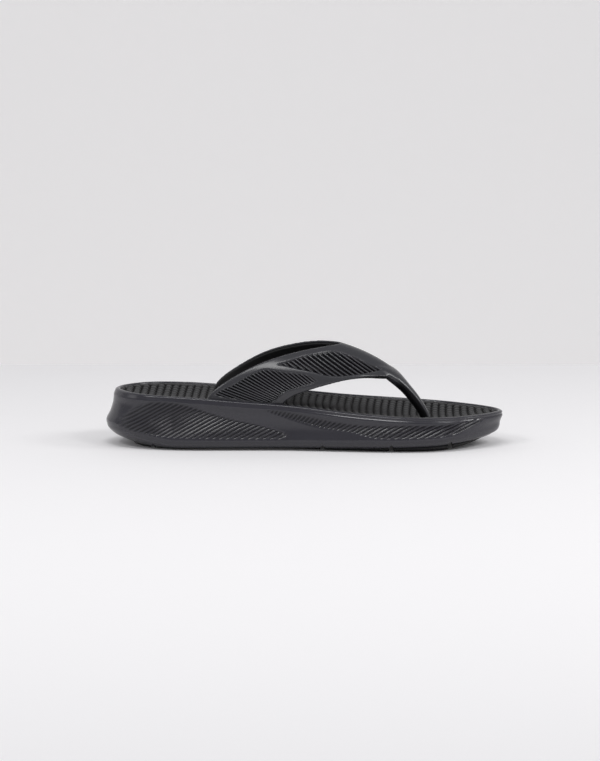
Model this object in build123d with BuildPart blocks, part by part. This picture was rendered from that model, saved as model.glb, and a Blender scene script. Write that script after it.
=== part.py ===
from build123d import *
import os
import numpy as np

# Left flip flop for a size 42.5 foot. Millimetres, +Z up, +X toward the toe and +Y the outer side of the
# foot. The origin is at the middle of the length and width, on the ground.

# The rim of the sole seen from above: its outer edge, from the heel along the inner side and back.
RIM_RING = [
    (-136.7, 0), (-130.5, -18.5), (-117, -30.5), (-96, -36.8), (-66, -38.5), (-32, -38), (0, -39.8),
    (32, -44), (62, -47.3), (84, -46.8), (106, -41.5), (124, -31.5), (137, -19), (143.4, -7),
    (140.6, 4), (132, 14.5), (118, 27), (101, 38.5), (80, 45.5), (52, 47.5), (22, 45.2), (-12, 42),
    (-50, 39.8), (-92, 37.5), (-116.5, 30), (-129.5, 17.5),
]
# How far the wall stands outside the rim, by height: height, then growth at the heel, sides and toe.
WALL_LEVELS = [
    (1.5, -14, -3.5, -9), (4, -5, 0.2, -9), (7, 2, 2, -9), (11, 5.6, 2.4, -2.5), (17, 7.2, 1.8, -0.3),
    (25, 4, 0.5, 0.2), (33, 1.5, 0, 0), (39, 0.3, 0, 0), (45, 0, 0, 0),
]
GROWTH_STATIONS = (-140, -95, 95, 140)   # x of full heel, start of sides, end of sides, full toe growth

# Profiles along the length, as (x, z).
RIM_TOP = [(-150, 41.2), (-118, 40), (-75, 38), (-46, 35.6), (-3, 32.2), (25, 29.1), (54, 26.7), (83, 25.2),
           (112, 24.8), (130, 24.9), (150, 24.7)]
FOAM_BOTTOM = [(-150, 2.2), (-40, 2.2), (18, 2.6), (68, 3.7), (97, 4.7), (119, 6.6), (135, 9), (150, 13)]
GROUND_CONTACT = (-106, 88)              # the tread is flat between these and lifts beyond them
HEEL_LIFT = (-150, 2.9)
TOE_LIFT = (150, 14)
DISH_DEPTH = [(-150, 0), (-134, 0), (-118, 3.4), (-98, 5), (-60, 4), (-20, 2.6), (20, 3.6), (60, 5.4),
              (90, 5.8), (115, 4), (133, 1), (150, 0)]
DISH_HALF_WIDTH = 46.0
DISH_GRID_X = range(-150, 151, 12)       # where the dish is sampled for its smooth face
DISH_GRID_Y = range(-60, 61, 10)
DISH_TOLERANCE = 0.3
BODY_TOP = 50.0
HALF_SPAN = 80.0          # wider than the sole, for cuts across it

RIM_ROUND = 1.3
RIM_WALL = 3.0            # thickness of the rim around the footbed
FOOTBED_THICKNESS = 6.0
FOOTBED_DROP = 1.0        # footbed edge below the top of the rim
RECESS_DEPTH = 1.5        # tread pads set into the foam

GROOVE_STATIONS = {"heel": -109.4, "arch": 12.9, "ball": 62.2, "toe": 104.9}
GROOVE_WIDTH = 3.0
GROOVE_RISE = 2.3
TREAD_GROWTH = (-11, -4.5, -9)           # tread outline inside the rim, at the heel, sides and toe
TREAD_SPANS = {
    "tread_heel": (-140, GROOVE_STATIONS["heel"]),
    "tread_arch": (GROOVE_STATIONS["heel"], GROOVE_STATIONS["arch"]),
    "tread_ball": (GROOVE_STATIONS["arch"], GROOVE_STATIONS["ball"]),
    "tread_forefoot": (GROOVE_STATIONS["ball"], GROOVE_STATIONS["toe"]),
    "tread_toe": (GROOVE_STATIONS["toe"], 140),
}

# The strap, from the middle of the instep out to the anchored edge: outer face of its rear edge, of its
# middle and of its front edge.
STRAP_REAR = [(26.5, -2, 73.4), (12, -10.5, 71.6), (-10, -19, 68), (-32, -26, 61.6), (-53, -31.5, 51.1),
              (-69, -33.6, 37.6), (-70, -33.8, 22.2)]
STRAP_MIDDLE = [(50, -5.5, 64.4), (41, -16, 61.4), (22, -24, 60.2), (1, -30, 56.2), (-22, -33.6, 48),
                (-42, -34.6, 36.4), (-42, -34.4, 22.2)]
STRAP_FRONT = [(70.5, -11.2, 49.8), (63.5, -18, 49), (50, -24.3, 51), (31, -29.7, 49.9), (8, -33, 44.3),
               (-14, -33.8, 35), (-14, -33.8, 22.2)]
STRAP_RIDGE = ((0, 26, 48, 70), (0, -2, -5, -11.2))   # x and y of the line that the strap is mirrored on
OUTER_SHIFT = [(0, 0), (0.5, 2.2), (1.2, 2), (2.5, 1.4), (3.5, 0.2), (4, 0), (4, 0)]   # x and z, outer wing
STRAP_EDGE = 3.0          # thickness of the strap at its edges
STRAP_BODY = 4.4          # and at its middle
LINING_THICKNESS = 1.2
GLUE_GAP = 0.15           # between the strap and its lining
LINING_FOOT = 27.0        # height at which the lining ends inside the slot
ANCHOR_Z = (22.0, 24.4)   # flange of the strap, moulded into the foam
ANCHOR_X = (-66, -18)
ANCHOR_Y = (22, 33)

# The toe post: centre of each oval section, half its depth and half its width.
POST_SECTIONS = [
    ((60, -8, 54), 3.2, 9), ((67, -10.8, 47.6), 3.8, 7.4), ((73.6, -12, 41.2), 3.8, 5.6),
    ((80.6, -12.5, 33), 3.7, 4.5), ((86.6, -13, 23), 3.6, 3.9), ((89.6, -13, 13), 3.4, 3.6),
    ((90, -13, 7.3), 3.2, 3.2),
]
PLUG_RADIUS = 9.0
PLUG_Z = (7.1, 10.1)


def grown(ring, heel, side, toe):
    """Push the points of a plan ring outward by an amount that changes from heel to sides to toe."""
    points = []
    for index, (x, y) in enumerate(ring):
        before = ring[index - 1]
        after = ring[(index + 1) % len(ring)]
        run = (after[0] - before[0], after[1] - before[1])
        length = (run[0] ** 2 + run[1] ** 2) ** 0.5
        amount = np.interp(x, GROWTH_STATIONS, (heel, side, side, toe))
        points.append((x + amount * run[1] / length, y - amount * run[0] / length))
    return points


def height(profile, x):
    """Height of a lengthwise profile at x."""
    return float(np.interp(x, [p[0] for p in profile], [p[1] for p in profile]))


def prism(ring, low, high):
    """Upright solid on a plan ring."""
    with BuildPart() as body:
        with BuildSketch(Plane.XY.offset(low)):
            with BuildLine():
                Spline(*ring, periodic=True)
            make_face()
        extrude(amount=high - low)
    return body.part


def dish_height(x, y):
    """Top face of the footbed: low along the middle and level with the rim at the sides."""
    across = min(abs(y) / DISH_HALF_WIDTH, 1)
    edge = height(RIM_TOP, x) - FOOTBED_DROP
    return edge - height(DISH_DEPTH, x) * (1 - across ** 2)


dish_rows = [[Vector(x, y, dish_height(x, y)) for y in DISH_GRID_Y] for x in DISH_GRID_X]
dish_face = Face.make_surface_from_array_of_points(dish_rows, tol=DISH_TOLERANCE)

with BuildPart() as footbed_layer:
    extrude(dish_face, amount=FOOTBED_THICKNESS, dir=(0, 0, -1))

with BuildPart() as lifted_dish:
    add(footbed_layer.part)
    extrude(dish_face, amount=BODY_TOP, dir=(0, 0, 1))

pocket_ring = grown(RIM_RING, -RIM_WALL, -RIM_WALL, -RIM_WALL)
pocket_prism = prism(pocket_ring, 0, BODY_TOP)


# The strap is a saddle lofted across the instep, from the inner anchored edge to the outer one.
def outer_wing(points):
    """The points on the outer side of the foot: across the ridge, a little higher and further forward."""
    placed = []
    for (x, y, z), (forward, up) in zip(points, OUTER_SHIFT):
        placed.append((x + forward, 2 * float(np.interp(x, *STRAP_RIDGE)) - y, z + up))
    return placed


def strap_stations():
    """Rear, middle and front points of each strap section, from the inner side to the outer side."""
    inner = list(zip(STRAP_REAR, STRAP_MIDDLE, STRAP_FRONT))
    outer = list(zip(outer_wing(STRAP_REAR), outer_wing(STRAP_MIDDLE), outer_wing(STRAP_FRONT)))
    return inner[::-1] + outer[1:]


def strap_layer(edge_top, middle_top, edge_bottom, middle_bottom):
    """Lofted layer of the strap between two depths, each given at the edges and at the middle."""
    with BuildPart() as layer:
        for rear, middle, front in strap_stations():
            rear, middle, front = Vector(rear), Vector(middle), Vector(front)
            along = (front - rear).normalized()
            plane = Plane(origin=rear, x_dir=along, z_dir=along.cross(middle - rear))
            crest = plane.to_local_coords(middle)
            width = (front - rear).length
            with BuildSketch(plane):
                with BuildLine():
                    top = ThreePointArc((0, -edge_top), (crest.X, crest.Y - middle_top), (width, -edge_top))
                    under = ThreePointArc((0, -edge_bottom), (crest.X, crest.Y - middle_bottom),
                                          (width, -edge_bottom))
                    Line(top @ 0, under @ 0)
                    Line(top @ 1, under @ 1)
                make_face()
        loft()
    return layer.part


with BuildPart() as post:
    centres = [Vector(centre) for centre, depth, width in POST_SECTIONS]
    for index, (centre, depth, width) in enumerate(POST_SECTIONS):
        ahead = centres[min(index + 1, len(centres) - 1)]
        behind = centres[max(index - 1, 0)]
        with BuildSketch(Plane(origin=centre, x_dir=(0, 1, 0), z_dir=ahead - behind)):
            Ellipse(width, depth)
    loft()

anchor_size = (ANCHOR_X[1] - ANCHOR_X[0], ANCHOR_Y[1] - ANCHOR_Y[0], ANCHOR_Z[1] - ANCHOR_Z[0])
anchor_middle = [(low + high) / 2 for low, high in (ANCHOR_X, ANCHOR_Y, ANCHOR_Z)]

with BuildPart() as strap_upper:
    add(strap_layer(0, 0, STRAP_EDGE, STRAP_BODY))
    add(post.part)
    for side in (-1, 1):
        with Locations((anchor_middle[0], side * anchor_middle[1], anchor_middle[2])):
            Box(*anchor_size)
strap_upper.part.label = "strap_upper"

with BuildPart() as strap_lining:
    add(strap_layer(STRAP_EDGE + GLUE_GAP, STRAP_BODY + GLUE_GAP,
                    STRAP_EDGE + LINING_THICKNESS, STRAP_BODY + LINING_THICKNESS))
    add(strap_upper.part, mode=Mode.SUBTRACT)
    with Locations((sum(ANCHOR_X) / 2, 0, 0)):
        Box(2 * HALF_SPAN, 2 * HALF_SPAN, 2 * LINING_FOOT, mode=Mode.SUBTRACT)
strap_lining.part.label = "strap_lining"

# The disc on the foot of the toe post, inside the sole above the tread.
with BuildPart() as toe_post_plug:
    with BuildSketch(Plane.XY.offset(PLUG_Z[0])):
        with Locations(POST_SECTIONS[-1][0][:2]):
            Circle(PLUG_RADIUS)
    extrude(amount=PLUG_Z[1] - PLUG_Z[0])
    add(strap_upper.part, mode=Mode.SUBTRACT)
toe_post_plug.part.label = "toe_post_plug"

with BuildPart() as footbed:
    add(pocket_prism)
    add(footbed_layer.part, mode=Mode.INTERSECT)
    add(strap_upper.part, mode=Mode.SUBTRACT)
    add(strap_lining.part, mode=Mode.SUBTRACT)
footbed.part.label = "footbed"

# Tread pads: the slab between the ground profile and the recesses in the foam, cut at the grooves.
with BuildPart() as tread_slab:
    with BuildSketch(Plane.XZ):
        with BuildLine():
            flat = Line((GROUND_CONTACT[0], 0), (GROUND_CONTACT[1], 0))
            heel_arc = TangentArc(flat @ 0, HEEL_LIFT, tangent=(-1, 0))
            toe_arc = TangentArc(flat @ 1, TOE_LIFT, tangent=(1, 0))
            recess = Spline(*[(x, z + RECESS_DEPTH) for x, z in FOAM_BOTTOM])
            Line(heel_arc @ 1, recess @ 0)
            Line(toe_arc @ 1, recess @ 1)
        make_face()
    extrude(amount=HALF_SPAN, both=True)
tread_prism = prism(grown(RIM_RING, *TREAD_GROWTH), -1, BODY_TOP)
treads = []
for tread_name, (rear_x, front_x) in TREAD_SPANS.items():
    with BuildPart() as tread:
        add(tread_slab.part)
        add(tread_prism, mode=Mode.INTERSECT)
        with Locations(((rear_x + front_x) / 2, 0, 0)):
            Box(front_x - rear_x - GROOVE_WIDTH, 2 * HALF_SPAN, BODY_TOP, mode=Mode.INTERSECT)
    tread.part.label = tread_name
    treads.append(tread.part)

# The hollow that holds the footbed: the footbed's own space, open to the top.
with BuildPart() as pocket:
    add(pocket_prism)
    add(lifted_dish.part, mode=Mode.INTERSECT)

# The foam body: a wall lofted through its levels, cut by the rim and ground profiles, then hollowed.
with BuildPart() as midsole:
    for z, heel, side, toe in WALL_LEVELS:
        with BuildSketch(Plane.XY.offset(z)):
            with BuildLine():
                Spline(*grown(RIM_RING, heel, side, toe), periodic=True)
            make_face()
    loft()
    with BuildSketch(Plane.XZ):
        with BuildLine():
            bottom = Spline(*FOAM_BOTTOM)
            top = Spline(*RIM_TOP)
            Line(bottom @ 0, top @ 0)
            Line(bottom @ 1, top @ 1)
        make_face()
    extrude(amount=HALF_SPAN, both=True, mode=Mode.INTERSECT)
    fillet(midsole.faces().sort_by(Axis.Z)[-1].edges(), RIM_ROUND)
    add(pocket.part, mode=Mode.SUBTRACT)
    for piece in (strap_upper, strap_lining, toe_post_plug):
        add(piece.part, mode=Mode.SUBTRACT)
    for tread in treads:
        add(tread, mode=Mode.SUBTRACT)
    for x in GROOVE_STATIONS.values():
        with BuildSketch(Plane.XZ):
            with Locations((x, height(FOAM_BOTTOM, x))):
                Polygon((-GROOVE_WIDTH, -GROOVE_RISE), (GROOVE_WIDTH, -GROOVE_RISE), (0, GROOVE_RISE),
                        align=None)
        extrude(amount=HALF_SPAN, both=True, mode=Mode.SUBTRACT)
midsole.part.label = "midsole"

os.makedirs("parts", exist_ok=True)
for piece in [midsole.part, footbed.part, strap_upper.part, strap_lining.part, toe_post_plug.part, *treads]:
    export_step(piece, f"parts/{piece.label}.step")
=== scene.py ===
import itertools
import math
import bmesh
import bpy
import numpy as np
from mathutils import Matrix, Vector
from mathutils.bvhtree import BVHTree


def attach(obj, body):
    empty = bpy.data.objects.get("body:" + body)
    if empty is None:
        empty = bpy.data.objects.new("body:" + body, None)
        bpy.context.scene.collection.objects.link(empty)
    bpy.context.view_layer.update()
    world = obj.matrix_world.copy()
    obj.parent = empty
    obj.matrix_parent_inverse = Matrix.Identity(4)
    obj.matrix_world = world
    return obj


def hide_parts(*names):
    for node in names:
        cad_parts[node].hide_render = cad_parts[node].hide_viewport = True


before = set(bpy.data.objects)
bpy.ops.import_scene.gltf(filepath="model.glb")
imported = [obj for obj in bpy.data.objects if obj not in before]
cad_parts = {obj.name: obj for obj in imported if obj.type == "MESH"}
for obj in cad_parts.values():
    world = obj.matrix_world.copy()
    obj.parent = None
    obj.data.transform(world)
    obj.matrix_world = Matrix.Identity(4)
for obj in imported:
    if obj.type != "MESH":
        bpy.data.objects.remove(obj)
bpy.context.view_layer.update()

# Everything below is in millimetres, in the frame of the CAD model, until a mesh is made.
MM = 0.001
# Painted shade: this attribute darkens colour and gloss in the grooves, between the nodules and round the
# blades, where shade falls. On the rear of the toe post it gives the dark colour of its lining.
PAINTED_SHADE_AND_LINING = "painted_shade_and_lining"                           # vertex attribute, 1 where a surface is darkest

# The rim of the sole seen from above, from the heel along the inner side and back.
RIM_RING = [
    (-136.7, 0), (-130.5, -18.5), (-117, -30.5), (-96, -36.8), (-66, -38.5), (-32, -38), (0, -39.8),
    (32, -44), (62, -47.3), (84, -46.8), (106, -41.5), (124, -31.5), (137, -19), (143.4, -7),
    (140.6, 4), (132, 14.5), (118, 27), (101, 38.5), (80, 45.5), (52, 47.5), (22, 45.2), (-12, 42),
    (-50, 39.8), (-92, 37.5), (-116.5, 30), (-129.5, 17.5),
]
RIM_TOP = [(-150, 41.2), (-118, 40), (-75, 38), (-46, 35.6), (-3, 32.2), (25, 29.1), (54, 26.7), (83, 25.2),
           (112, 24.8), (130, 24.9), (150, 24.7)]
FOAM_BOTTOM = [(-150, 1.6), (-40, 1.6), (18, 2.1), (68, 3.1), (97, 4.1), (119, 5.7), (135, 7.6), (150, 11)]
DISH_DEPTH = [(-150, 0), (-134, 0), (-118, 3.4), (-98, 5), (-60, 4), (-20, 2.6), (20, 3.6), (60, 5.4),
              (90, 5.8), (115, 4), (133, 1), (150, 0)]
FOOTBED_DROP = 1.0
HEEL_START, HEEL_END = -95.0, -140.0      # x where the wall starts to follow the heel, and where it has
TOE_START, TOE_END = 95.0, 140.0

# How far the wall stands outside the rim ring.
WALL_BELOW_RIM = [(0, 0), (0.7, 0.35), (1.6, 0.5), (2.6, 0.85), (3.6, 1.2), (5.2, 1.05), (8, 0.45), (12, 0.1),
                  (40, 0)]
RIM_GROOVE = [(0, 0), (1.4, 0), (1.9, -0.25), (2.3, -0.4), (2.7, -0.25), (3.2, 0), (40, 0)]
RIM_GROOVE_START = (-30, 40)              # x over which the groove under the rim sets in
WALL_ABOVE_BASE = [(0, -3), (0.8, -1.1), (2, 0.4), (3.8, 1.7), (6, 2.2), (8, 1.9), (11, 1.1), (15, 0.5),
                   (40, 0)]
HEEL_WALL = [(1.3, -14.5), (3.6, -7.8), (5.8, -2.4), (8, 1.8), (10.2, 4.6), (12.4, 6.6), (14.7, 7.4),
             (17, 7.9), (19.1, 7.4), (21.3, 6.2), (23.6, 4.9), (25.8, 4), (28, 3.2), (32.4, 2), (36, 1.2),
             (41, 0)]
TOE_WALL = [(0, -7.5), (1.2, -4.4), (3.4, -2.2), (5.6, -1.5), (8, -1.3), (10, -0.8), (12.3, 0), (14.5, 0.2),
            (40, 0)]
RIM_PROFILE = [(-0.25, 0.5), (-0.8, 0.12), (-1.5, 0), (-2.2, 0.12), (-2.75, 0.5), (-3, 1.2), (-3.05, 3),
               (-3.1, 7.4)]                # outward and down, from the outer edge of the rim into the pocket
WALL_ROWS = 96
WALL_CROWDING = 0.045                    # draws the rows of the wall toward its middle
WALL_SAMPLES = 160
SOLE_COLUMNS = 420
RIM_EDGE_DROP = 0.9                       # the wall ends this far below the top of the rim
HEEL_RIM_SHARE, TOE_RIM_SHARE = 0.6, 0.35   # how much of the lip below the rim goes round the ends
TOE_TUCK = 4.5                            # how far the underside is drawn back at the toe
POCKET_SHARES = (0, 0.35, 0.7)            # loops of the pocket's floor, from its middle line outward
UNDERSIDE = [(0.985, 0.15), (0.94, 0.35), (0.85, 0.35), (0.7, 0.35), (0.5, 0.35), (0.3, 0.35), (0.15, 0.35),
             (0, 0.35)]                   # loops from the edge to the middle line: share, drop

NOTCH_STATIONS = (-109.4, 12.9, 62.2, 104.9)
NOTCH_HALF_WIDTH = 1.7
NOTCH_COLUMNS = (-1.7, -0.85, 0, 0.85, 1.7)
NOTCH_RISE = 3.0
NOTCH_FULLNESS = 0.8                      # under 1, the groove is rounder than a V
# Rise of a flex groove above which its underside gets painted shade.
NOTCH_SHADE_FROM = 0.3

# Slanted grooves in the wall, as two panels with a smooth crest between them: middle line, slope in
# degrees, upper limit and lower limit, each along x.
GROOVE_PITCH = 2.4
GROOVE_DEPTH = 1.0
GROOVE_SKEW = 1.4                         # over 1, the upper faces of the ridges are the wide ones
HEEL_PANEL = {
    "middle": [(-132, 20), (-110, 22), (-89, 22), (-60, 17), (-32, 13.5), (-10, 10)],
    "slope": [(-132, 38), (-110, 32), (-75, 29), (-32, 26), (-10, 25)],
    "upper": [(-134, 20), (-126, 27), (-114, 34.5), (-103, 36.3), (-89, 35), (-75, 31), (-60, 26),
              (-46, 22.4), (-32, 19.4), (-17, 15), (-6, 11)],
    "lower": [(-134, 17), (-125, 14), (-111, 10.4), (-89, 8.6), (-75, 8.2), (-6, 8)],
}
TOE_PANEL = {
    "middle": [(-32, 30), (-3, 23.8), (25, 18.4), (54, 15.2), (90, 15.4), (110, 17), (130, 20.5)],
    "slope": [(-32, 50), (-20, 48), (11, 41), (33, 33), (68, 29), (104, 23), (130, 21)],
    "upper": [(-34, 31), (-21, 30.4), (-3, 27.4), (11, 24.6), (25, 22.2), (40, 20.6), (69, 20.8), (97, 20.8),
              (111, 21.8), (122, 22.8), (131, 22)],
    "lower": [(-34, 30), (-17, 24.5), (-3, 20.2), (11, 16.6), (25, 14.6), (36, 13.2), (47, 10.4), (69, 9.6),
              (90, 10.2), (101, 11), (108, 12.2), (115, 14), (122, 16.6), (131, 20.5)],
}
PANEL_FADE = 2.2                          # over which the grooves fade at the limits, and then at both ends
GROOVES_START_FADE, GROOVES_END_FADE = 9, 7
GROOVE_SAMPLES = 400


def spline(points, at):
    """Smooth curve through (knot, value) points, evaluated at an array of knots."""
    x, y = np.array(points, float).T
    step = np.diff(x)
    slope = np.diff(y) / step
    matrix = np.eye(len(x))
    right = np.zeros(len(x))
    for i in range(1, len(x) - 1):
        matrix[i, i - 1:i + 2] = step[i - 1], 2 * (step[i - 1] + step[i]), step[i]
        right[i] = 6 * (slope[i] - slope[i - 1])
    bend = np.linalg.solve(matrix, right)
    at = np.clip(np.asarray(at, float), x[0], x[-1])
    i = np.clip(np.searchsorted(x, at) - 1, 0, len(x) - 2)
    after, before, span = at - x[i], x[i + 1] - at, step[i]
    return ((bend[i] * before ** 3 + bend[i + 1] * after ** 3) / (6 * span)
            + (y[i] / span - bend[i] * span / 6) * before
            + (y[i + 1] / span - bend[i + 1] * span / 6) * after)


def polyline(points, at):
    """Straight lines through (knot, value) points, evaluated at an array of knots."""
    return np.interp(at, *np.array(points, float).T)


def smooth_step(low, high, value):
    """0 below low, 1 above high, smooth between."""
    t = np.clip((value - low) / (high - low), 0, 1)
    return t * t * (3 - 2 * t)


def eased_step(start, end, x):
    """0 before start and 1 after end, halfway between a straight and a smooth step."""
    share = np.clip((x - start) / (end - start), 0, 1)
    return (share + smooth_step(0, 1, share)) / 2


def lengths(points):
    """Distance along a polyline at each of its points."""
    return np.concatenate([[0], np.cumsum(np.linalg.norm(np.diff(points, axis=0), axis=1))])


def closed_curve(points, count=4000, wrap=4):
    """Points sampled along a smooth closed curve through the given ones."""
    ring = np.array(points, float)
    ring = np.concatenate([ring[-wrap:], ring, ring[:wrap + 1]])
    along = lengths(ring)
    at = np.linspace(along[wrap], along[-wrap - 1], count + 1)[:-1]
    return np.stack([spline(list(zip(along, ring[:, axis])), at) for axis in (0, 1)], -1)


def outline_sides(count, marks=(), spread=(0,)):
    """Points and outward normals of the rim ring, as two sides from heel to toe with equal counts."""
    ring = closed_curve(RIM_RING)
    tangent = np.roll(ring, -1, 0) - np.roll(ring, 1, 0)
    tangent /= np.linalg.norm(tangent, axis=1, keepdims=True)
    normal = np.stack([tangent[:, 1], -tangent[:, 0]], -1)
    heel, toe = ring[:, 0].argmin(), ring[:, 0].argmax()
    ring, normal = np.roll(ring, -heel, 0), np.roll(normal, -heel, 0)
    toe = (toe - heel) % len(ring)
    sides = []
    for order in (np.arange(toe + 1), np.append(0, np.arange(len(ring) - 1, toe - 1, -1))):
        points, facing = ring[order], normal[order]
        along = lengths(points)
        along /= along[-1]
        at = np.linspace(0, 1, count)
        for mark in marks:
            for offset in spread:
                wanted = np.interp(mark + offset, points[:, 0], along)
                at[np.abs(at - wanted).argmin()] = wanted
        sides.append([np.stack([np.interp(at, along, values[:, axis]) for axis in (0, 1)], -1)
                      for values in (points, facing)])
    return sides


def loop_of(sides):
    """The two sides as one closed loop: along the inner side to the toe and back along the outer side."""
    (inner, inner_normal), (outer, outer_normal) = sides
    points = np.concatenate([inner, outer[-2:0:-1]])
    normals = np.concatenate([inner_normal, outer_normal[-2:0:-1]])
    return points, normals


def offset_loop(loop, outward, height):
    """The loop moved outward in plan, at a height."""
    points, normals = loop
    moved = points + normals * np.reshape(outward, (-1, 1))
    return np.column_stack([moved, np.broadcast_to(height, len(points))])


def spine_of(loop, count):
    """For each point of a loop, the point midway to its partner on the other side."""
    partner = np.concatenate([np.arange(count), np.arange(count - 2, 0, -1)])
    inner = loop[:count]
    outer = np.concatenate([loop[:1], loop[:count - 1:-1], loop[count - 1:count]])
    return ((inner + outer) / 2)[partner]


def rim_height(x):
    return spline(RIM_TOP, x)


def foam_bottom(x):
    return spline(FOAM_BOTTOM, x)


def dish_height(x, across):
    """Top of the footbed, without its nodules. across is 0 at its middle line and 1 at its edge."""
    return rim_height(x) - FOOTBED_DROP - spline(DISH_DEPTH, x) * (1 - across ** 2)


def notch(x):
    """Rise of the underside at the flex grooves."""
    rise = np.zeros_like(x)
    for station in NOTCH_STATIONS:
        rise = np.maximum(rise, np.clip(1 - np.abs(x - station) / NOTCH_HALF_WIDTH, 0, 1))
    return NOTCH_RISE * rise ** NOTCH_FULLNESS


def panel_grooves(panel, x, z):
    """Depth share and mask of one grooved panel of the wall."""
    fine = np.linspace(panel["middle"][0][0], panel["middle"][-1][0], GROOVE_SAMPLES)
    middle = spline(panel["middle"], fine)
    slope = np.radians(spline(panel["slope"], fine))
    climb = np.gradient(middle, fine)
    travelled = np.cumsum((-np.sin(slope) + climb * np.cos(slope)) * (fine[1] - fine[0])) / GROOVE_PITCH
    x_in = np.clip(x, fine[0], fine[-1])
    rise = (z - np.interp(x_in, fine, middle)) * np.cos(np.interp(x_in, fine, slope)) / GROOVE_PITCH
    phase = np.interp(x_in, fine, travelled) + rise
    mask = (smooth_step(0, PANEL_FADE, spline(panel["upper"], x) - z)
            * smooth_step(0, PANEL_FADE, z - spline(panel["lower"], x))
            * smooth_step(fine[0], fine[0] + GROOVES_START_FADE, x)
            * smooth_step(-fine[-1], GROOVES_END_FADE - fine[-1], -x))
    return phase, mask


def ridge(phase):
    """Height of a row of leaning rounded ridges, from -1 at a groove to 0 on a ridge."""
    share = (phase - np.floor(phase)) ** GROOVE_SKEW
    return 0.5 * np.cos(2 * np.pi * share) - 0.5


def read_vectors(items, field):
    """A vector of every mesh item, as an array of three columns."""
    values = np.empty(len(items) * 3)
    items.foreach_get(field, values)
    return values.reshape(-1, 3)


def grid_mesh(name, rows, painted_shade=None):
    """Mesh through rows of points, each row a closed loop; equal points are merged."""
    rows = np.asarray(rows, float)
    count, width = rows.shape[:2]
    index = np.arange(count * width).reshape(count, width)
    upper, lower = index[:-1], index[1:]
    quads = np.stack([upper, np.roll(upper, -1, 1), np.roll(lower, -1, 1), lower], -1).reshape(-1, 4)
    mesh = bpy.data.meshes.new(name)
    mesh.from_pydata((rows.reshape(-1, 3) * MM).tolist(), [], quads.tolist())
    depth = mesh.attributes.new(PAINTED_SHADE_AND_LINING, "FLOAT", "POINT")
    if painted_shade is not None:
        depth.data.foreach_set("value", np.ravel(painted_shade))
    return finished(name, mesh)


def finished(name, mesh, merge=0.00001):
    """An object for a mesh, cleaned, facing outward and smooth."""
    work = bmesh.new()
    work.from_mesh(mesh)
    bmesh.ops.remove_doubles(work, verts=work.verts, dist=merge)
    bmesh.ops.dissolve_degenerate(work, edges=work.edges, dist=merge / 10)
    loose = [v for v in work.verts if not v.link_faces]
    bmesh.ops.delete(work, geom=loose, context="VERTS")
    bmesh.ops.recalc_face_normals(work, faces=work.faces)
    work.to_mesh(mesh)
    work.free()
    mesh.shade_smooth()
    piece = bpy.data.objects.new(name, mesh)
    bpy.context.scene.collection.objects.link(piece)
    return piece


def make_midsole():
    """Foam body: pocket floor, rolled rim, grooved wall, underside with flex grooves."""
    loop = loop_of(outline_sides(SOLE_COLUMNS, NOTCH_STATIONS, NOTCH_COLUMNS))
    x = loop[0][:, 0]
    heel = eased_step(HEEL_START, HEEL_END, x)
    toe = eased_step(TOE_START, TOE_END, x)
    top = rim_height(x)
    base = foam_bottom(x - TOE_TUCK * toe)
    share = np.linspace(0, 1, WALL_SAMPLES)[:, None]
    z = base + (top - RIM_EDGE_DROP - base) * share
    side_out = spline(WALL_BELOW_RIM, top - z) + spline(WALL_ABOVE_BASE, z - base)
    rim_groove = polyline(RIM_GROOVE, top - z) * smooth_step(*RIM_GROOVE_START, x)
    heel_out = spline(HEEL_WALL, z) + spline(WALL_BELOW_RIM, top - z) * HEEL_RIM_SHARE
    toe_out = spline(TOE_WALL, z - base) + spline(WALL_BELOW_RIM, top - z) * TOE_RIM_SHARE
    out = side_out * (1 - heel - toe) + heel_out * heel + toe_out * toe + rim_groove
    wall = np.empty((WALL_ROWS, len(x), 2))
    even = np.linspace(0, 1, WALL_ROWS)
    even += WALL_CROWDING * np.sin(2 * np.pi * even)
    for column in range(len(x)):
        profile = np.stack([out[:, column], z[:, column]], -1)
        along = lengths(profile)
        at = along[-1] * even
        wall[:, column, 1] = np.maximum(np.interp(at, along, profile[:, 1]), base[column] + notch(x[column]))
        wall[:, column, 0] = np.interp(wall[:, column, 1], profile[:, 1], profile[:, 0])
    # Painted shade: sunk, the depth share of each groove, is later painted as darker colour and less gloss.
    sunk = np.zeros(wall.shape[:2])
    for panel in (HEEL_PANEL, TOE_PANEL):
        phase, mask = panel_grooves(panel, np.broadcast_to(x, wall.shape[:2]), wall[..., 1])
        wall[..., 0] += mask * GROOVE_DEPTH * ridge(phase)
        sunk -= mask * ridge(phase)

    rows = [offset_loop(loop, outward, top - drop) for outward, drop in reversed(RIM_PROFILE)]
    pocket_spine = spine_of(rows[0], SOLE_COLUMNS)
    rows = [pocket_spine + (rows[0] - pocket_spine) * share for share in POCKET_SHARES] + rows
    first_wall_row = len(rows)
    rows += [offset_loop(loop, outward, height) for outward, height in wall[::-1].transpose(0, 2, 1)]
    edge = rows[-1].copy()
    spine = spine_of(edge, SOLE_COLUMNS)
    for share, drop in UNDERSIDE:
        row = spine + (edge - spine) * share
        row[:, 2] = foam_bottom(row[:, 0]) - drop
        rows.append(row)
    rows = np.array(rows)
    under = len(rows) - len(UNDERSIDE)
    rise = notch(rows[under:, :, 0])
    rows[under:, :, 2] += rise
    # Painted shade: darker in the grooves of the wall and in the flex grooves of the underside.
    painted_shade = np.zeros(rows.shape[:2])
    painted_shade[first_wall_row:first_wall_row + WALL_ROWS] = sunk[::-1]
    painted_shade[under:] = rise > NOTCH_SHADE_FROM
    piece = grid_mesh("midsole_foam", rows, painted_shade)
    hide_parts("midsole")
    return piece


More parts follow.
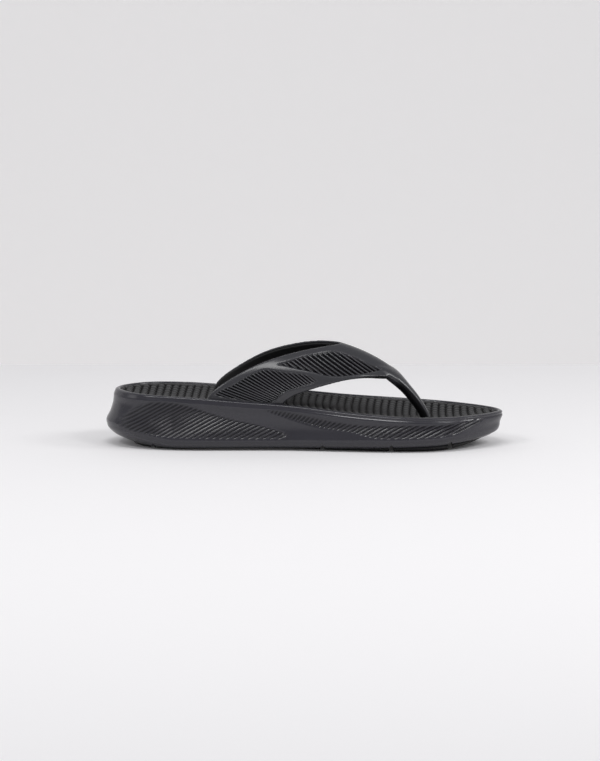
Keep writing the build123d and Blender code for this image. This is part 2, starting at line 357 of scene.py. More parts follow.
# Footbed: nodules on a grid, inside a smooth margin.
FOOTBED_COLUMNS = 560
FOOTBED_ROWS = 60
NODULE_PITCH = (5.3, 5.0)
NODULE_HEIGHT = 1.5
NODULE_SINK = 0.15                        # their ground lies this far below the dish of the footbed
NODULE_SPAN = (0.43, 0.53)                # half-width of a nodule, as a share of the pitch
NODULE_SQUARENESS, NODULE_DOMING = 2.6, 2.4     # 2 for both would make each one an ellipsoid
NODULE_LEAN = 0.0016                      # how much the rows bend toward the toe at the edges
FOOTBED_INSET = 3.3
FOOTBED_SIDE = [(0, 6.8), (0, 2), (0.15, 1.3), (0.55, 1.02)]   # from its underside up: inward, below the rim
FOOTBED_ROUNDING = 1.1
FOOTBED_UNDER_SHARES = (0, 0.4, 0.8)      # loops of the underside, from its middle line outward
MARGIN = (0.5, 2.0)                       # distance from the edge over which the nodules set in


def nodules(x, y):
    """Rounded square bumps in rows that bend a little toward the toe at the edges."""
    along = (x - NODULE_LEAN * y ** 2) / NODULE_PITCH[0]
    across = y / NODULE_PITCH[1]
    u = along - np.round(along)
    v = across - np.round(across)
    u, v = np.abs(u / NODULE_SPAN[0]), np.abs(v / NODULE_SPAN[1])
    reach = (u ** NODULE_SQUARENESS + v ** NODULE_SQUARENESS) ** (1 / NODULE_SQUARENESS)
    return NODULE_HEIGHT * np.sqrt(np.clip(1 - reach ** NODULE_DOMING, 0, 1))


def make_footbed():
    """Soft insert: side wall, rounded edge, margin and dished nodular top."""
    loop = loop_of(outline_sides(FOOTBED_COLUMNS))
    top = rim_height(loop[0][:, 0])
    sides = [offset_loop(loop, -FOOTBED_INSET - inset, top - drop) for inset, drop in FOOTBED_SIDE]
    spine = spine_of(sides[0], FOOTBED_COLUMNS)
    rows = [spine + (sides[0] - spine) * share for share in FOOTBED_UNDER_SHARES] + sides
    painted_shade = [np.zeros(len(top)) for row in rows]
    edge = offset_loop(loop, -FOOTBED_INSET - FOOTBED_ROUNDING, top)
    spine = spine_of(edge, FOOTBED_COLUMNS)
    for share in np.linspace(1, 0, FOOTBED_ROWS):
        row = spine + (edge - spine) * share
        inside = np.linalg.norm((edge - spine)[:, :2], axis=1) * (1 - share)
        cover = smooth_step(*MARGIN, inside)
        bumps = nodules(row[:, 0], row[:, 1])
        row[:, 2] = dish_height(row[:, 0], share) - NODULE_SINK + bumps * cover
        rows.append(row)
        # Painted shade: darker between the nodules, where shade falls, and none on the smooth margin.
        painted_shade.append((1 - bumps / NODULE_HEIGHT) * cover)
    piece = grid_mesh("footbed_insert", np.array(rows), np.array(painted_shade))
    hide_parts("footbed")
    return piece


# Tread pads.
TREAD_INSET = [(-140, 13), (-95, 8), (-60, 11), (-10, 11), (30, 7.5), (95, 6), (140, 10)]   # inside the rim
TREAD_OUTLINE_COLUMNS = 900
TREAD_STEP = 0.62
TREAD_ROWS = 100
TREAD_RIB_PITCH = 3.4
TREAD_RIB_DEPTH = 1.1
CHEVRON_LEAN = 0.35
CHEVRON_WAVE, WAVE_RATE = 1.3, 0.5        # a ripple in the ribs, across the pad
RIB_FLANK = (0.3, 0.75)
TREAD_BORDER = (0.3, 1.1)                 # distance from the edge over which the ribs set in
GROUND_CONTACT = (-106, 88)
HEEL_ARC_RADIUS, TOE_ARC_RADIUS = 335.0, 144.0
TREAD_PADS = {
    "tread_heel": (-124.2, -110.9), "tread_arch": (-107.9, 11.4), "tread_ball": (14.4, 60.7),
    "tread_forefoot": (63.7, 103.4), "tread_toe": (106.4, 133.6),
}


def ground_profile(x):
    """Underside of the tread: flat where it touches the ground, on large arcs beyond."""
    heel = np.clip(GROUND_CONTACT[0] - x, 0, None)
    toe = np.clip(x - GROUND_CONTACT[1], 0, None)
    return (HEEL_ARC_RADIUS - np.sqrt(HEEL_ARC_RADIUS ** 2 - heel ** 2)
            + TOE_ARC_RADIUS - np.sqrt(TOE_ARC_RADIUS ** 2 - toe ** 2))


def make_tread(name, start, end):
    """One rubber pad with chevron ribs on its underside."""
    limits = []
    for points, normal in outline_sides(TREAD_OUTLINE_COLUMNS):
        inset = polyline(TREAD_INSET, points[:, 0])
        limits.append(points - normal * inset[:, None])
    x = np.linspace(start, end, int((end - start) / TREAD_STEP) + 2)
    low, high = (np.interp(x, side[:, 0], side[:, 1]) for side in limits)
    width = high - low
    share = np.linspace(0, 1, TREAD_ROWS)
    y = low[:, None] + width[:, None] * share
    x_grid = np.broadcast_to(x[:, None], y.shape)
    middle = (low + high)[:, None] / 2
    chevron = CHEVRON_LEAN * np.abs(y - middle) + CHEVRON_WAVE * np.sin(y * WAVE_RATE)
    phase = (x_grid + chevron) / TREAD_RIB_PITCH
    rib = smooth_step(*RIB_FLANK, np.abs(np.cos(np.pi * phase)))
    border = np.minimum(np.minimum(share, 1 - share) * width[:, None],
                        np.minimum(x_grid - start, end - x_grid))
    groove = TREAD_RIB_DEPTH * (1 - rib) * smooth_step(*TREAD_BORDER, border)
    under = ground_profile(x)[:, None] + groove
    above = foam_bottom(x)[:, None] + np.zeros_like(y)
    rows = []
    for i in range(len(x)):
        bottom = np.stack([x_grid[i], y[i], under[i]], -1)
        upper = np.stack([x_grid[i], y[i], above[i]], -1)
        rows.append(np.concatenate([bottom, upper[::-1]]))
    ends = [rows[0].copy(), rows[-1].copy()]
    for flat in ends:
        flat[:, 2] = flat[:, 2].mean()
        flat[TREAD_ROWS:] = flat[:TREAD_ROWS][::-1]
    piece = grid_mesh(name + "_rubber", [ends[0], *rows, ends[1]])
    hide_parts(name)
    return piece


# The strap: outer face of its rear edge, middle and front edge, from the middle of the instep to the
# inner anchored edge. The outer half is the same, mirrored on the ridge that leads to the toe post.
STRAP_REAR = [(26.5, -2, 73.4), (12, -10.5, 71.6), (-10, -19, 68), (-32, -26, 61.6), (-53, -31.5, 51.1),
              (-69, -33.6, 37.6), (-70, -33.8, 22.2)]
STRAP_MIDDLE = [(50, -5.5, 64.4), (41, -16, 61.4), (22, -24, 60.2), (1, -30, 56.2), (-22, -33.6, 48),
                (-42, -34.6, 36.4), (-42, -34.4, 22.2)]
STRAP_FRONT = [(70, -11.2, 51.4), (63.5, -17.4, 50.9), (50, -24, 52.2), (31, -29.7, 50.4), (8, -33, 44.6),
               (-14, -33.8, 35), (-14, -33.8, 22.2)]
STRAP_RIDGE = [(0, 0), (26, -2), (48, -5), (70, -11.2)]
OUTER_SHIFT = [(0, 0), (0.5, 2.2), (1.2, 2), (2.5, 1.4), (3.5, 0.2), (4, 0), (4, 0)]   # x and z, outer wing
STRAP_EDGE = 1.9
STRAP_BODY = 3.3
LINING_THICKNESS = 1.2
POST_SECTIONS = [                         # centre, half depth, half width
    ((54, -6.6, 57.2), 2.8, 10.5), ((60.5, -8.6, 53), 4.3, 10), ((66.5, -10.6, 48.2), 4.6, 8.4),
    ((72, -11.8, 42.8), 4.2, 6.4), ((77.2, -12.3, 37), 3.9, 5), ((82, -12.7, 30.7), 3.8, 4.3),
    ((86, -13, 24.2), 3.6, 3.9), ((88.5, -13, 18), 3.6, 3.7), ((89.8, -13, 12.5), 3.6, 3.6),
]
STRAP_VOXEL = 0.75
STRAP_RELAX = 8                           # repeats of the smoothing after the merge
STRAP_COLUMNS, STRAP_ROWS = 241, 49
STRAP_INSIDE = (20, 0, 20)                # a point that the outer face of the strap looks away from
EDGE_BULGE = 0.8                          # how far an edge stands out, as a share of half its thickness
EDGE_STEPS = 3
POST_ROWS, POST_COLUMNS = 60, 48
LINING_REACH, LINING_LENGTH = 0.86, (0.015, 0.985)      # shares of the strap that the lining covers
LINING_COLUMNS, LINING_ROWS = 200, 30
LINING_GAP = 0.05
POST_LINED_TO = 2.2                       # how far in front of its middle the post is lined
POST_LINED_EDGE = (-0.4, 0.4)
POST_LINED_X = (60, 70)
POST_LINED_DEPTH = (-52, -44)             # -z over which the lining of the post sets in
NOSE_FADE_IN = (50, 58)                   # x over which the blending of the wings into the post sets in
NOSE_FADE_OUT = (34, 42)                  # z over which it ends, down the post
NOSE_UNDERSIDE = (-0.1, 0.3)              # how far down a face has to look to be filled out
NOSE_REPEATS = 60
NOSE_FILLING = 45
SHRINK, REGROW = 0.5, -0.51               # a step of smoothing, and the one that undoes its thinning

# Slanted blades in two sunk panels of each wing, bounded along x. The section of a blade is its distance
# to the side and its share of the depth.
OUTSIDE = 90                              # clear of the strap, where a search for its skin starts
BLADE_STEP = 0.8
BLADE_REACH = 22                          # half the length over which a blade is looked for
BLADE_FADE = (-0.2, 1.6)                  # inside the limits of a panel, and then at both its ends
BLADES_START_FADE, BLADES_END_FADE = 5, 9
BLADE_MARGIN = 8                          # how far past its panel the row of blades is counted
BLADE_LEAST_SHARE, BLADE_LEAST_POINTS = 0.02, 4
BLADE_END_SHARE = 0.35                    # a blade dips where its panel is less than this share deep
BLADE_SAMPLES = 800
RIDGE_TOLERANCE = 1                       # a search that ends further past the ridge has met the other wing
NORMAL_WINDOW = 5                         # points over which the normals along a blade are averaged
CORE_X_SHARE, CORE_Z = 0.8, 20.0          # the core that the outer faces of the wings look away from
OUTER_FACE = (0, 7.5)                     # distance from the core along the normal, inner and outer face
PANEL_DEPTH = 1.3
# Painted shade: the rest of the strap is darkened a little, so that the blades, which are not, look more
# brightly lit.
SKIN_PAINTED_SHADE = 0.18                         # the skin around the blades is a little darker than they are
BLADE_SECTION = [(-0.6, 1), (-0.52, 0.3), (-0.32, 0.06), (0, 0), (0.32, 0.06), (0.52, 0.3), (0.6, 1)]
BLADE_FOOT = 0.4                          # the section runs this far below the floor of the panel
BLADE_LIFT, BLADE_END_DROP = 0.05, 0.5    # its top above the skin, and how far it dips at both ends
STRAP_PANELS = [
    {"upper": [(-66, 40), (-57, 44.8), (-49.8, 48), (-42.6, 52.8), (-35.4, 56), (-30.4, 57.8), (-21, 57.5),
               (-13.9, 56.4), (-6.7, 55.7), (0.5, 54.6), (7.7, 52), (12, 50)],
     "lower": [(-66, 39), (-53.4, 37.2), (-39, 35.2), (-28.2, 34), (-22.4, 34.6), (-17.5, 39.2),
               (-10.3, 43.2), (-3.1, 45.2), (4.1, 47.2), (12, 49.5)],
     "slope": [(-50, 21), (-32, 29), (-10, 36), (4, 39)], "pitch": [(-66, 1.9), (12, 1.9)]},
    {"upper": [(-22, 61.5), (-14, 62.9), (-6.7, 65.2), (0.5, 67.2), (7.7, 68.2), (14.9, 69), (22, 69),
               (29, 67.3), (36, 65), (43.5, 61.8), (50.7, 58.6), (61, 56.4)],
     "lower": [(-22, 61), (-10.3, 59), (-3.1, 57.3), (5.5, 55.7), (14.9, 53.2), (32.8, 52.8), (47.2, 54.2),
               (61, 56)],
     "slope": [(-20, 35), (58, 32)], "pitch": [(-22, 2.3), (25, 2.4), (40, 2), (61, 1.8)]},
]


def ridge_side(x):
    """y of the line that the strap is mirrored on."""
    return polyline(STRAP_RIDGE, x)


def strap_surface(across, along):
    """Outer face of the strap. across runs -1 to 1 from inner to outer edge, along 0 to 1 from the rear."""
    rails = []
    stations = np.arange(len(STRAP_REAR))
    for rail in (STRAP_REAR, STRAP_MIDDLE, STRAP_FRONT):
        points = np.array(rail, float)
        mirrored = points.copy()
        mirrored[:, 1] = 2 * ridge_side(points[:, 0]) - points[:, 1]
        mirrored[:, [0, 2]] += np.array(OUTER_SHIFT)
        both = np.concatenate([points[::-1], mirrored[1:]])
        knots = np.concatenate([-stations[::-1], stations[1:]]) / stations[-1]
        rails.append(np.stack([spline(list(zip(knots, both[:, k])), across) for k in range(3)], -1))
    rear, middle, front = (rail[:, None, :] for rail in rails)
    along = along[None, :, None]
    return (rear * (1 - along) * (1 - 2 * along) + 4 * middle * along * (1 - along)
            + front * along * (2 * along - 1))


def surface_normals(points):
    """Outward normals of a grid of points on the strap."""
    across = np.gradient(points, axis=0)
    along = np.gradient(points, axis=1)
    normal = np.cross(across, along)
    normal /= np.linalg.norm(normal, axis=-1, keepdims=True)
    facing = np.sign(np.sum(normal * (points - np.array(STRAP_INSIDE)), axis=-1, keepdims=True))
    return normal * facing


def sheet_rows(outer, inner):
    """Closed loops round a sheet with rounded edges, one for each station across the strap."""
    rows = []
    for top, low in zip(outer, inner):
        ends = []
        for side, step in ((-1, -2), (0, 1)):
            middle = (top[side] + low[side]) / 2
            half = (top[side] - low[side]) / 2
            out = top[side] - top[step]
            out = out / np.linalg.norm(out) * np.linalg.norm(half) * EDGE_BULGE
            angles = np.linspace(0, np.pi, EDGE_STEPS + 2)[1:-1]
            ends.append([middle + half * np.cos(a) + out * np.sin(a) for a in angles])
        rows.append(np.concatenate([top, ends[0], low[::-1], ends[1][::-1]]))
    return np.array(rows)


def capped(rows):
    """The rows with both ends closed, by a point at the middle of each."""
    first, last = (np.broadcast_to(row.mean(0), row.shape) for row in (rows[0], rows[-1]))
    return np.concatenate([[first], rows, [last]])


def strap_sheet(name, depth_out, depth_in, across, along):
    """Closed sheet between two depths below the outer face, each given at the edges and in the middle."""
    surface = strap_surface(across, along)
    normal = surface_normals(surface)
    hump = 4 * along * (1 - along)
    outer, inner = (surface - normal * (edge + (body - edge) * hump)[None, :, None]
                    for edge, body in (depth_out, depth_in))
    return grid_mesh(name, capped(sheet_rows(outer, inner)))


def post_tube(name):
    """The toe post as a tube of ovals that widens into the strap."""
    centres = np.array([centre for centre, depth, width in POST_SECTIONS], float)
    at = np.linspace(0, len(centres) - 1, POST_ROWS)
    knots = range(len(centres))
    path = np.stack([spline(list(zip(knots, centres[:, k])), at) for k in range(3)], -1)
    depth, width = (spline([(i, section[k]) for i, section in enumerate(POST_SECTIONS)], at) for k in (1, 2))
    heading = np.gradient(path, axis=0)
    heading /= np.linalg.norm(heading, axis=1, keepdims=True)
    side = np.cross(heading, [0, 0, 1])
    side /= np.linalg.norm(side, axis=1, keepdims=True)
    front = np.cross(side, heading)
    turn = np.linspace(0, 2 * np.pi, POST_COLUMNS, endpoint=False)
    rows = (path[:, None] + side[:, None] * (width[:, None] * np.cos(turn))[..., None]
            + front[:, None] * (depth[:, None] * np.sin(turn))[..., None])
    return grid_mesh(name, capped(rows))


def fuse(pieces, voxel, relax):
    """Merge objects into one smooth skin, kept as the first one."""
    work = bmesh.new()
    for piece in pieces:
        work.from_mesh(piece.data)
    work.to_mesh(pieces[0].data)
    work.free()
    for piece in pieces[1:]:
        bpy.data.objects.remove(piece)
    whole = pieces[0]
    remesh = whole.modifiers.new("one_skin", "REMESH")
    remesh.mode = "VOXEL"
    remesh.voxel_size = voxel * MM
    smooth = whole.modifiers.new("relax", "SMOOTH")
    smooth.factor = SHRINK
    smooth.iterations = relax
    settled = bpy.data.meshes.new_from_object(whole.evaluated_get(bpy.context.evaluated_depsgraph_get()))
    whole.modifiers.clear()
    whole.data = settled
    settled.shade_smooth()
    return whole


def panel_share(panel, x, z):
    """1 inside a recessed panel of the strap, fading to 0 at its borders."""
    start, end = panel["upper"][0][0], panel["upper"][-1][0]
    return (smooth_step(*BLADE_FADE, spline(panel["upper"], x) - z)
            * smooth_step(*BLADE_FADE, z - spline(panel["lower"], x))
            * smooth_step(start, start + BLADES_START_FADE, x)
            * smooth_step(-end, BLADES_END_FADE - end, -x))


def blade_lines(panel):
    """The middle lines of a panel's blades, as rows of (x, z) points that descend toward the toe."""
    start, end = panel["upper"][0][0] - BLADE_MARGIN, panel["upper"][-1][0] + BLADE_MARGIN
    fine = np.linspace(start, end, BLADE_SAMPLES)
    middle = (spline(panel["upper"], fine) + spline(panel["lower"], fine)) / 2
    slope = np.radians(polyline(panel["slope"], fine))
    climb = np.gradient(middle, fine)
    pitch = polyline(panel["pitch"], fine)
    travelled = np.cumsum((np.sin(slope) + climb * np.cos(slope)) / pitch) * (fine[1] - fine[0])
    at = np.interp(np.arange(1, int(travelled[-1])), travelled, fine)
    reach = np.arange(-BLADE_REACH, BLADE_REACH + 0.01, BLADE_STEP)[:, None]
    angle = np.interp(at, fine, slope)
    x = at + reach * np.cos(angle)
    z = np.interp(at, fine, middle) - reach * np.sin(angle)
    share = panel_share(panel, x, z)
    lines = []
    for k in range(len(at)):
        inside = np.nonzero(share[:, k] > BLADE_LEAST_SHARE)[0]
        if len(inside) > BLADE_LEAST_POINTS:
            lines.append((x[inside, k], z[inside, k], share[inside, k]))
    return lines


def wing_shift(x):
    """How far the outer wing is moved forward and up against the inner one, at x."""
    order = np.argsort([point[0] for point in STRAP_MIDDLE])
    knots = np.array(STRAP_MIDDLE, float)[order, 0]
    return np.array([np.interp(x, knots, np.array(OUTER_SHIFT, float)[order, k]) for k in (0, 1)])


def blade_rows(skin, line, side):
    """One blade on one side of the foot: a rounded bar whose top is flush with the skin of the strap."""
    points, normals, shares = [], [], []
    for x, z, share in zip(*line):
        forward, up = wing_shift(x) if side > 0 else (0, 0)
        start = Vector((x + forward, side * OUTSIDE, z + up)) * MM
        place, normal, face, distance = skin.ray_cast(start, Vector((0, -side, 0)))
        if place is None or (place.y / MM - ridge_side(x)) * side < -RIDGE_TOLERANCE:
            continue
        points.append(np.array(place) / MM)
        normals.append(np.array(normal))
        shares.append(share)
    if len(points) < BLADE_LEAST_POINTS:
        return None
    points, normals, share = np.array(points), np.array(normals), np.array(shares)[:, None]
    kernel = np.ones(NORMAL_WINDOW) / NORMAL_WINDOW
    padded = np.pad(normals, ((NORMAL_WINDOW // 2,) * 2, (0, 0)), "edge")
    normals = np.stack([np.convolve(padded[:, k], kernel, "valid") for k in range(3)], -1)
    normals /= np.linalg.norm(normals, axis=1, keepdims=True)
    heading = np.gradient(points, axis=0)
    heading /= np.linalg.norm(heading, axis=1, keepdims=True)
    beside = np.cross(normals, heading)
    lift = BLADE_LIFT - BLADE_END_DROP * (1 - smooth_step(0, BLADE_END_SHARE, share))
    rows = []
    for offset, drop in BLADE_SECTION:
        rows.append(points + beside * offset + normals * (lift - drop * (PANEL_DEPTH + BLADE_FOOT)))
    return np.array(rows).transpose(1, 0, 2)


def add_blades(strap, skin):
    """Blades on both wings, level with the skin that the strap had before its panels were sunk."""
    work = bmesh.new()
    work.from_mesh(strap.data)
    painted_shade = work.verts.layers.float[PAINTED_SHADE_AND_LINING]
    for panel in STRAP_PANELS:
        for line, side in itertools.product(blade_lines(panel), (-1, 1)):
            rows = blade_rows(skin, line, side)
            if rows is None:
                continue
            grid = [[work.verts.new(Vector(point) * MM) for point in row] for row in rows]
            for row in grid:
                # Painted shade: the foot of each blade, down in the gap between blades, is painted darkest.
                row[0][painted_shade] = row[-1][painted_shade] = 1
            for row, following in zip(grid, grid[1:]):
                for k in range(len(row)):
                    work.faces.new((row[k - 1], following[k - 1], following[k], row[k])).smooth = True
            work.faces.new(grid[0])
            work.faces.new(grid[-1][::-1])
    work.to_mesh(strap.data)
    work.free()


def shade_post(strap):
    """Darken the lined rear side of the toe post."""
    mesh = strap.data
    place = read_vectors(mesh.vertices, "co") / MM
    painted_shade_and_lining = np.empty(len(mesh.vertices))
    mesh.attributes[PAINTED_SHADE_AND_LINING].data.foreach_get("value", painted_shade_and_lining)
    path = np.array([centre for centre, depth, width in POST_SECTIONS], float)
    x_of_post = np.interp(-place[:, 2], -path[:, 2], path[:, 0])
    behind = x_of_post + POST_LINED_TO - place[:, 0]
    lined = (smooth_step(*POST_LINED_EDGE, behind) * smooth_step(*POST_LINED_X, place[:, 0])
             * smooth_step(*POST_LINED_DEPTH, -place[:, 2]))
    mesh.attributes[PAINTED_SHADE_AND_LINING].data.foreach_set("value", np.maximum(painted_shade_and_lining, lined))


def blend_nose(strap):
    """Run the wings smoothly into the toe post, without thinning them, and round the corner beneath them."""
    mesh = strap.data
    place = read_vectors(mesh.vertices, "co") / MM
    ends = np.empty(len(mesh.edges) * 2, int)
    mesh.edges.foreach_get("vertices", ends)
    one, other = ends.reshape(-1, 2).T
    neighbours = np.bincount(ends, minlength=len(place))[:, None]
    inside = smooth_step(*NOSE_FADE_IN, place[:, 0]) * smooth_step(*NOSE_FADE_OUT, place[:, 2])
    facing = read_vectors(mesh.vertex_normals, "vector")
    under = inside * smooth_step(*NOSE_UNDERSIDE, -facing[:, 2])
    for share, factors in ((inside, [SHRINK, REGROW] * NOSE_REPEATS), (under, [SHRINK] * NOSE_FILLING)):
        for factor in factors:
            total = np.stack([np.bincount(one, place[other, k], len(place))
                              + np.bincount(other, place[one, k], len(place)) for k in range(3)], -1)
            place += factor * share[:, None] * (total / neighbours - place)
    mesh.vertices.foreach_set("co", (place * MM).ravel())
    mesh.update()


def sink_panels(strap):
    """Lower the floor of the blade panels on the outer face of both wings, and paint shade on those floors
    and, more lightly, on the rest of the strap, so that the blades look brighter.
    """
    mesh = strap.data
    place = read_vectors(mesh.vertices, "co") / MM
    facing = read_vectors(mesh.vertex_normals, "vector")
    core = np.stack([place[:, 0] * CORE_X_SHARE, ridge_side(place[:, 0]), np.full(len(place), CORE_Z)], -1)
    outside = smooth_step(*OUTER_FACE, np.sum(facing * (place - core), axis=1))
    outer = place[:, 1] > ridge_side(place[:, 0])
    forward, up = wing_shift(place[:, 0]) * outer
    share = sum(panel_share(panel, place[:, 0] - forward, place[:, 2] - up) for panel in STRAP_PANELS)
    place -= facing * (PANEL_DEPTH * np.clip(share, 0, 1) * outside)[:, None]
    mesh.vertices.foreach_set("co", (place * MM).ravel())
    mesh.attributes[PAINTED_SHADE_AND_LINING].data.foreach_set("value", np.clip(share * outside, SKIN_PAINTED_SHADE, 1))
    mesh.update()


def make_strap():
    """Two wings and the toe post, merged into one moulding, with blades in sunk panels."""
    across = np.linspace(-1, 1, STRAP_COLUMNS)
    along = np.linspace(0, 1, STRAP_ROWS)
    band = strap_sheet("strap_moulding", (0, 0), (STRAP_EDGE, STRAP_BODY), across, along)
    strap = fuse([band, post_tube("post_moulding")], STRAP_VOXEL, STRAP_RELAX)
    if PAINTED_SHADE_AND_LINING not in strap.data.attributes:
        strap.data.attributes.new(PAINTED_SHADE_AND_LINING, "FLOAT", "POINT")
    blend_nose(strap)
    skin = BVHTree.FromObject(strap, bpy.context.evaluated_depsgraph_get())
    sink_panels(strap)
    add_blades(strap, skin)
    shade_post(strap)
    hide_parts("strap_upper")
    return strap


def make_lining():
    """Dark lining on the inside of the wings."""
    across = np.linspace(-LINING_REACH, LINING_REACH, LINING_COLUMNS)
    along = np.linspace(*LINING_LENGTH, LINING_ROWS)
    near, far = ((STRAP_EDGE + depth, STRAP_BODY + depth) for depth in (LINING_GAP, LINING_THICKNESS))
    piece = strap_sheet("strap_lining_sheet", near, far, across, along)
    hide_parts("strap_lining")
    return piece


# Materials: colour, roughness, scale and depth of the grain, and how far the shade attribute darkens colour
# and gloss: painted shade in grooves, between nodules and round the blades, and the dark lining on the rear
# of the toe post. The pieces without painted shade or lining have 0.
FINISHES = {
    "sole_foam": ((42, 41, 48), 0.21, 900, 0.00003, 0.6),
    "footbed_foam": ((52, 52, 53), 0.7, 1400, 0.0001, 0.85),
    "strap_moulding": ((56, 56, 60), 0.24, 1100, 0.00003, 0.85),
    "lining": ((16, 16, 17), 0.85, 1800, 0.00015, 0),
    "tread_rubber": ((24, 24, 25), 0.6, 900, 0.00008, 0),
}
DRIFT_SCALE, DRIFT_DETAIL = 45, 5
MOTTLE = 0.12
ROUGHNESS_DRIFT = 0.08
GLOSS = 0.6
GRAIN_DETAIL = 4
GRAIN_STRENGTH = 0.38


def srgb(red, green, blue):
    """Linear colour of an 8-bit sRGB one."""
    def linear(value):
        value /= 255
        return value / 12.92 if value <= 0.04045 else ((value + 0.055) / 1.055) ** 2.4
    return linear(red), linear(green), linear(blue), 1


def noise(material, scale, detail):
    """Noise in the object's own coordinates."""
    nodes, links = material.node_tree.nodes, material.node_tree.links
    texture = nodes.new("ShaderNodeTexNoise")
    texture.inputs["Scale"].default_value = scale
    texture.inputs["Detail"].default_value = detail
    links.new(nodes.new("ShaderNodeTexCoord").outputs["Object"], texture.inputs["Vector"])
    return texture.outputs["Fac"]


def spread_over(material, source, low, high):
    """A source that runs from 0 to 1, spread from low to high."""
    spread = material.node_tree.nodes.new("ShaderNodeMapRange")
    spread.inputs["To Min"].default_value = low
    spread.inputs["To Max"].default_value = high
    material.node_tree.links.new(source, spread.inputs["Value"])
    return spread.outputs["Result"]


def multiplied(material, source, factor):
    """A source times another one or a number."""
    product = material.node_tree.nodes.new("ShaderNodeMath")
    product.operation = "MULTIPLY"
    material.node_tree.links.new(source, product.inputs[0])
    if isinstance(factor, float):
        product.inputs[1].default_value = factor
    else:
        material.node_tree.links.new(factor, product.inputs[1])
    return product.outputs["Value"]


def moulded(name, colour, roughness, grain, grain_depth, painted_shade_and_lining):
    """Moulded foam or rubber: drifting colour, painted shade that darkens colour and gloss in the grooves
    (and the lining colour of the toe post), a fine grain and uneven roughness.
    """
    material = bpy.data.materials.new(name)
    material.use_nodes = True
    nodes, links = material.node_tree.nodes, material.node_tree.links
    shader = nodes["Principled BSDF"]
    drift = noise(material, DRIFT_SCALE, DRIFT_DETAIL)
    tone = spread_over(material, drift, 1 - MOTTLE, 1 + MOTTLE)
    shader.inputs["Specular IOR Level"].default_value = GLOSS
    # Painted shade: where the attribute is high, colour and gloss are lowered as if the grooves lay in shade.
    if painted_shade_and_lining:
        depth = nodes.new("ShaderNodeAttribute")
        depth.attribute_name = PAINTED_SHADE_AND_LINING
        groove = spread_over(material, depth.outputs["Fac"], 1, 1 - painted_shade_and_lining)
        tone = multiplied(material, tone, groove)
        links.new(multiplied(material, groove, GLOSS), shader.inputs["Specular IOR Level"])
    tint = nodes.new("ShaderNodeVectorMath")
    tint.operation = "SCALE"
    tint.inputs[0].default_value = srgb(*colour)[:3]
    links.new(tone, tint.inputs["Scale"])
    links.new(tint.outputs["Vector"], shader.inputs["Base Color"])
    rough = spread_over(material, drift, roughness - ROUGHNESS_DRIFT, roughness + ROUGHNESS_DRIFT)
    links.new(rough, shader.inputs["Roughness"])
    bump = nodes.new("ShaderNodeBump")
    bump.inputs["Strength"].default_value = GRAIN_STRENGTH
    bump.inputs["Distance"].default_value = grain_depth
    links.new(noise(material, grain, GRAIN_DETAIL), bump.inputs["Height"])
    links.new(bump.outputs["Normal"], shader.inputs["Normal"])
    return material


# Studio, in metres. The table ends close behind the object and slopes down out of sight, to a wall that is
# far enough away for the object to be seen from behind too.
STUDIO_HALF_WIDTH = 8
BACKDROPS = [                             # name, profile in y and z, colour, glow
    ("floor", [(-8, 0), (0.388, 0), (3, -0.42)], (239, 238, 239), 0.02),
    ("wall", [(3, -0.42), (3, 5)], (232, 230, 230), 0.32),
]
BACKDROP_ROUGHNESS = 0.9
LIGHTS = [                                # name, place, target, size, power
    ("overhead", (-0.15, -0.5, 1.4), (-0.05, 0.15, 0), (0.7, 0.36), 5.6),
    ("upper_left", (-0.86, -0.72, 1.14), (0, 0, 0.03), (0.4, 0.34), 3.9),
    ("upper_right", (0.86, -0.72, 1.14), (0, 0, 0.03), (0.4, 0.34), 3.6),
    ("left_box", (-1.2, -0.15, 0.6), (0, 0, 0.03), (0.4, 0.5), 0.6),
    ("right_box", (1.2, -0.25, 0.85), (0, 0, 0.03), (0.4, 0.4), 4.2),
]
WORLD_COLOUR, WORLD_STRENGTH = (0.97, 0.97, 1, 1), 0.38
CAMERA_PLACE = (-0.00314, -2.16835, 0.37454)
CAMERA_DIP = 8.635                        # degrees below the horizontal
CAMERA_SENSOR, CAMERA_LENS = 36, 142.6    # mm
CAMERA_REACH = 50                         # beyond which nothing is drawn


def add_area_light(name, place, target, size, power):
    """Softbox aimed at a point."""
    light = bpy.data.lights.new(name, "AREA")
    light.shape = "RECTANGLE"
    light.size, light.size_y = size
    light.energy = power
    lamp = bpy.data.objects.new(name, light)
    lamp.location = place
    lamp.rotation_mode = "QUATERNION"
    lamp.rotation_quaternion = (Vector(target) - Vector(place)).to_track_quat("-Z", "Y")
    bpy.context.scene.collection.objects.link(lamp)


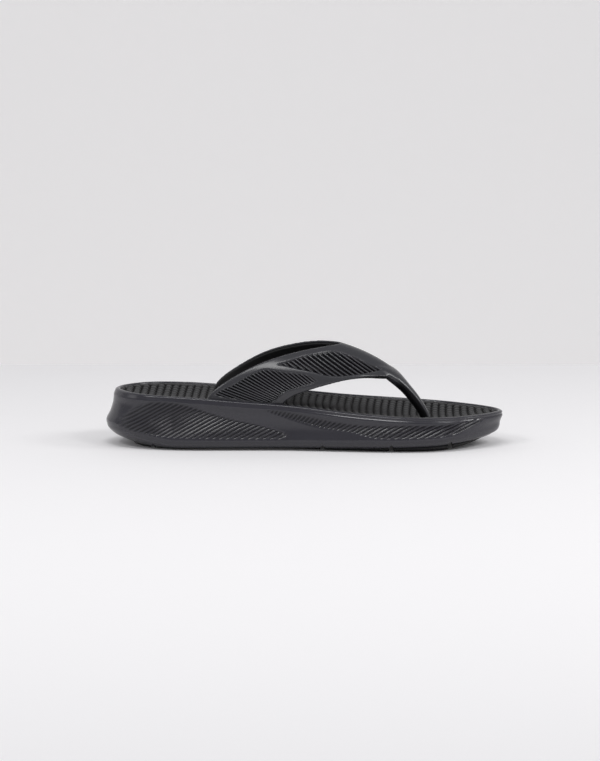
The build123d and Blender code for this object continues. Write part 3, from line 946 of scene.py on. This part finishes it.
def flat_material(name, colour, glow):
    """Plain matte paint that gives off a little light of its own."""
    material = bpy.data.materials.new(name)
    material.use_nodes = True
    shader = material.node_tree.nodes["Principled BSDF"]
    shader.inputs["Base Color"].default_value = srgb(*colour)
    shader.inputs["Roughness"].default_value = BACKDROP_ROUGHNESS
    shader.inputs["Emission Color"].default_value = (1, 1, 1, 1)
    shader.inputs["Emission Strength"].default_value = glow
    return material


def add_backdrop(name, profile, colour, glow):
    """Sheet across the whole studio, along a profile of (y, z) points."""
    corners = [(x, y, z) for y, z in profile for x in (-STUDIO_HALF_WIDTH, STUDIO_HALF_WIDTH)]
    faces = [(i, i + 1, i + 3, i + 2) for i in range(0, len(corners) - 2, 2)]
    mesh = bpy.data.meshes.new(name)
    mesh.from_pydata(corners, [], faces)
    mesh.materials.append(flat_material(name + "_paint", colour, glow))
    backdrop = bpy.data.objects.new(name, mesh)
    bpy.context.scene.collection.objects.link(backdrop)


def make_studio():
    """Pale table, a wall behind it, soft lights and the camera."""
    for backdrop in BACKDROPS:
        add_backdrop(*backdrop)
    for light in LIGHTS:
        add_area_light(*light)
    world = bpy.data.worlds.new("studio")
    world.use_nodes = True
    background = world.node_tree.nodes["Background"]
    background.inputs["Color"].default_value = WORLD_COLOUR
    background.inputs["Strength"].default_value = WORLD_STRENGTH
    bpy.context.scene.world = world
    camera_data = bpy.data.cameras.new("camera")
    camera_data.sensor_width = CAMERA_SENSOR
    camera_data.lens = CAMERA_LENS
    camera_data.clip_end = CAMERA_REACH
    camera = bpy.data.objects.new("camera", camera_data)
    camera.location = CAMERA_PLACE
    camera.rotation_euler = (math.radians(90 - CAMERA_DIP), 0, 0)
    bpy.context.scene.collection.objects.link(camera)
    bpy.context.scene.camera = camera
    bpy.context.scene.view_settings.view_transform = "Standard"


def main():
    """Make every piece, give it its material and attach it to the frame."""
    materials = {name: moulded(name, *finish) for name, finish in FINISHES.items()}
    made = [(make_midsole(), "sole_foam"), (make_footbed(), "footbed_foam"),
            (make_strap(), "strap_moulding"), (make_lining(), "lining")]
    made += [(make_tread(name, *span), "tread_rubber") for name, span in TREAD_PADS.items()]
    for piece, finish in made:
        piece.data.materials.clear()
        piece.data.materials.append(materials[finish])
        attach(piece, "root")
    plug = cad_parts["toe_post_plug"]
    plug.data.materials.clear()
    plug.data.materials.append(materials["strap_moulding"])
    make_studio()


main()
